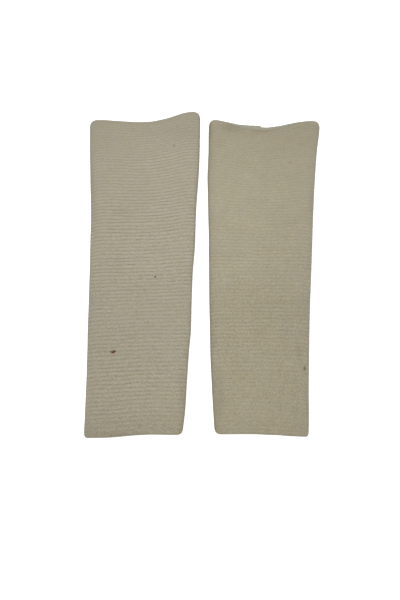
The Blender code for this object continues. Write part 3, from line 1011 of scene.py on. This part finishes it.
def knit_material(name, warmer, looks):
    """The knit's face, with the marks and wear of one warmer."""
    graph = Graph(name, looks.seed)
    places = graph.places()
    x, y, _ = graph.parts(places)
    knit = graph.knit_map()
    wale, course, _ = graph.parts(knit)
    flat = graph.vector("MULTIPLY", places, FLAT)
    crosswise = graph.vector("MULTIPLY", places, CROSSWISE)
    lengthways = graph.vector("MULTIPLY", places, LENGTHWAYS)
    cell = graph.vector("FLOOR", knit)
    stitch = graph.add("ShaderNodeTexWhiteNoise", noise_dimensions="2D")
    graph.put(cell, stitch.inputs["Vector"])

    stitches = stitch_height(graph, wale, course)
    grain = ramp_up(graph, y, looks.grain, [[row.amount / MOST_GRAIN] * 3 for row in looks.grain])
    grain = graph.times(grain, MOST_GRAIN)
    from_upright = graph.math("SUBTRACT", y, looks.twill.upright)
    slanted = graph.times(graph.times(from_upright, from_upright), -TWILL_SLANT / 2)
    line = graph.math("MULTIPLY_ADD", wale, TWILL_LINES / ROUND_WALES, slanted)
    twill = graph.math("SINE", graph.times(line, 2 * np.pi))
    shown = graph.step(y, looks.twill.start, looks.twill.full)
    # Painted light: each warmer is brighter on the side towards the other one, by its lean.
    aside = graph.math("SUBTRACT", x, warmer.place[0])
    brightness = graph.math("MULTIPLY_ADD", aside, looks.lean / LAYER_WIDTH, 1.0)
    factors = [
        graph.swing(graph.noise(flat, CLOUDS), CLOUD_SHADE),
        graph.swing(graph.noise(flat, MOTTLES), looks.mottle),
        graph.swing(graph.noise(lengthways, STREAKS), STREAK_SHADE),
        graph.swing(graph.noise(flat, SPECKS), graph.times(grain, SPECK_SHADE)),
        graph.swing(graph.noise(crosswise, THREADS), graph.times(grain, THREAD_SHADE)),
        graph.swing(stitch.outputs["Value"], graph.times(grain, STITCH_SPECK)),
        graph.math("MULTIPLY_ADD", graph.times(twill, shown), looks.twill.depth, 1.0),
        # painted light on the stitches' strands and painted shade between them
        graph.swing(stitches, STITCH_SHADE),
    ]
    for factor in factors:
        brightness = graph.times(brightness, factor)
    brighter = graph.math("SUBTRACT", brightness, 1.0)

    warm = graph.noise(flat, WARMTH, 5.0)
    yarn = graph.noise(crosswise, YARNS, 9.0)
    yarn = graph.times(graph.math("SUBTRACT", yarn, 0.5), up_leg(graph, y, looks.yarn))
    tints = [
        graph.vector("MULTIPLY_ADD", brighter, DARKENING, (1.0, 1.0, 1.0)),
        # the tones up the leg, partly painted light
        ramp_up(graph, y, looks.tones, [tint_of(tone) for tone in looks.tones]),
        graph.mix(warm, YELLOWER, GREYER),
        graph.vector("MULTIPLY_ADD", yarn, YARN_TINT, (1.0, 1.0, 1.0)),
        # painted shade of the grooves, folds and mouths, with some dirt in the grooves and painted light
        # on the crests
        graph.add("ShaderNodeAttribute", attribute_name="shade").outputs["Vector"],
    ]
    colour = looks.colour
    for tint in tints:
        colour = graph.vector("MULTIPLY", colour, tint)

    ragged = graph.math("MULTIPLY_ADD", graph.noise(flat, RAGGEDNESS), 2.0, -1.0)
    for stain_and_shade in looks.stains:
        colour = graph.mix(stain_and_shade_share(graph, places, stain_and_shade, ragged), colour, (*stain_and_shade.colour, 1.0))
    graph.put(colour, graph.shader.inputs["Base Color"])

    relief = graph.times(stitches, STITCH_DEPTH)
    relief = graph.math("MULTIPLY_ADD", graph.noise(flat, FUZZ), FUZZ_DEPTH, relief)
    relief = graph.math("MULTIPLY_ADD", graph.noise(flat, LUMPS), LUMP_DEPTH, relief)
    finish(graph, relief)
    return graph.material


def inside_material(name, seed):
    """The knit's back, less yellow than its face, with the purl bumps running across the leg."""
    graph = Graph(name, seed)
    places = graph.places()
    wale, course, _ = graph.parts(graph.knit_map())
    blotches = graph.swing(graph.noise(places, BACK_BLOTCHES), BACK_BLOTCH_SHADE)
    specks = graph.swing(graph.noise(places, BACK_SPECKS), BACK_SPECK_SHADE)
    colour = graph.scaled(INSIDE_COLOUR, graph.times(blotches, specks))
    graph.put(colour, graph.shader.inputs["Base Color"])
    purl = graph.math("SINE", graph.times(course, 2 * np.pi))
    beads = graph.math("SINE", graph.times(wale, 2 * np.pi))
    relief = graph.times(purl, graph.math("MULTIPLY_ADD", beads, PURL_BEAD_DEPTH, PURL_DEPTH))
    relief = graph.math("MULTIPLY_ADD", graph.noise(places, FUZZ), BACK_FUZZ_DEPTH, relief)
    finish(graph, relief)
    return graph.material


def finish(graph, relief):
    """Matt woollen cloth, with a relief in millimetres."""
    bump = graph.add("ShaderNodeBump")
    bump.inputs["Distance"].default_value = MM
    graph.put(relief, bump.inputs["Height"])
    graph.put(bump.outputs[0], graph.shader.inputs["Normal"])
    graph.shader.inputs["Roughness"].default_value = ROUGHNESS
    graph.shader.inputs["Specular IOR Level"].default_value = SPECULAR
    graph.shader.inputs["Sheen Weight"].default_value = SHEEN
    graph.shader.inputs["Sheen Roughness"].default_value = SHEEN_ROUGHNESS


# ------------------------ putting the warmers together

# The cut of each tube opened out, all round it: as wide as both layers and the folds. In metres.
Cut = namedtuple("Cut", "width length area")


def make_warmer(name, warmer, looks, seed):
    """One warmer's outside and inside, in place of its node."""
    length = length_of(warmer)
    rows = rows_up(warmer, looks.plain)
    outer, shade = outside_points(warmer, rows, looks, seed)
    stations = np.concatenate([INSIDE_STATIONS, length - INSIDE_STATIONS[::-1]])[:, None]
    inner = inside_points(warmer, stations, seed)
    bottom_rim = rim_points(outer[0], inner[0], -1)[::-1]
    top_rim = rim_points(outer[-1], inner[-1], 1)
    points = np.concatenate([bottom_rim, outer, top_rim])

    rim_courses = RIM_COURSES * np.arange(1, RIM_ROWS + 1) / RIM_ROWS
    courses = rows.course[:, 0]
    outer_courses = np.concatenate([courses[0] - rim_courses[::-1], courses, courses[-1] + rim_courses])
    face = knit_material(f"{name}_knit", warmer, looks)
    outside = make_tube(f"{name}_outside", points, face, outer_courses)
    add_shade(outside, np.pad(shade, ((RIM_ROWS, RIM_ROWS), (0, 0), (0, 0)), mode="edge"))

    inner_courses = stations[:, 0] / length * courses[-1]
    back = inside_material(f"{name}_knit_back", seed)
    inside = make_tube(f"{name}_inside", inner, back, inner_courses, facing_in=True)
    for piece in (outside, inside):
        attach(piece, "root")
        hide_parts(warmer.node)


make_camera()
make_lights()
make_floor()
make_warmer("left", LEFT, LEFT_LOOKS, seed=100)
make_warmer("right", RIGHT, RIGHT_LOOKS, seed=200)
bpy.context.scene.view_settings.view_transform = "Standard"
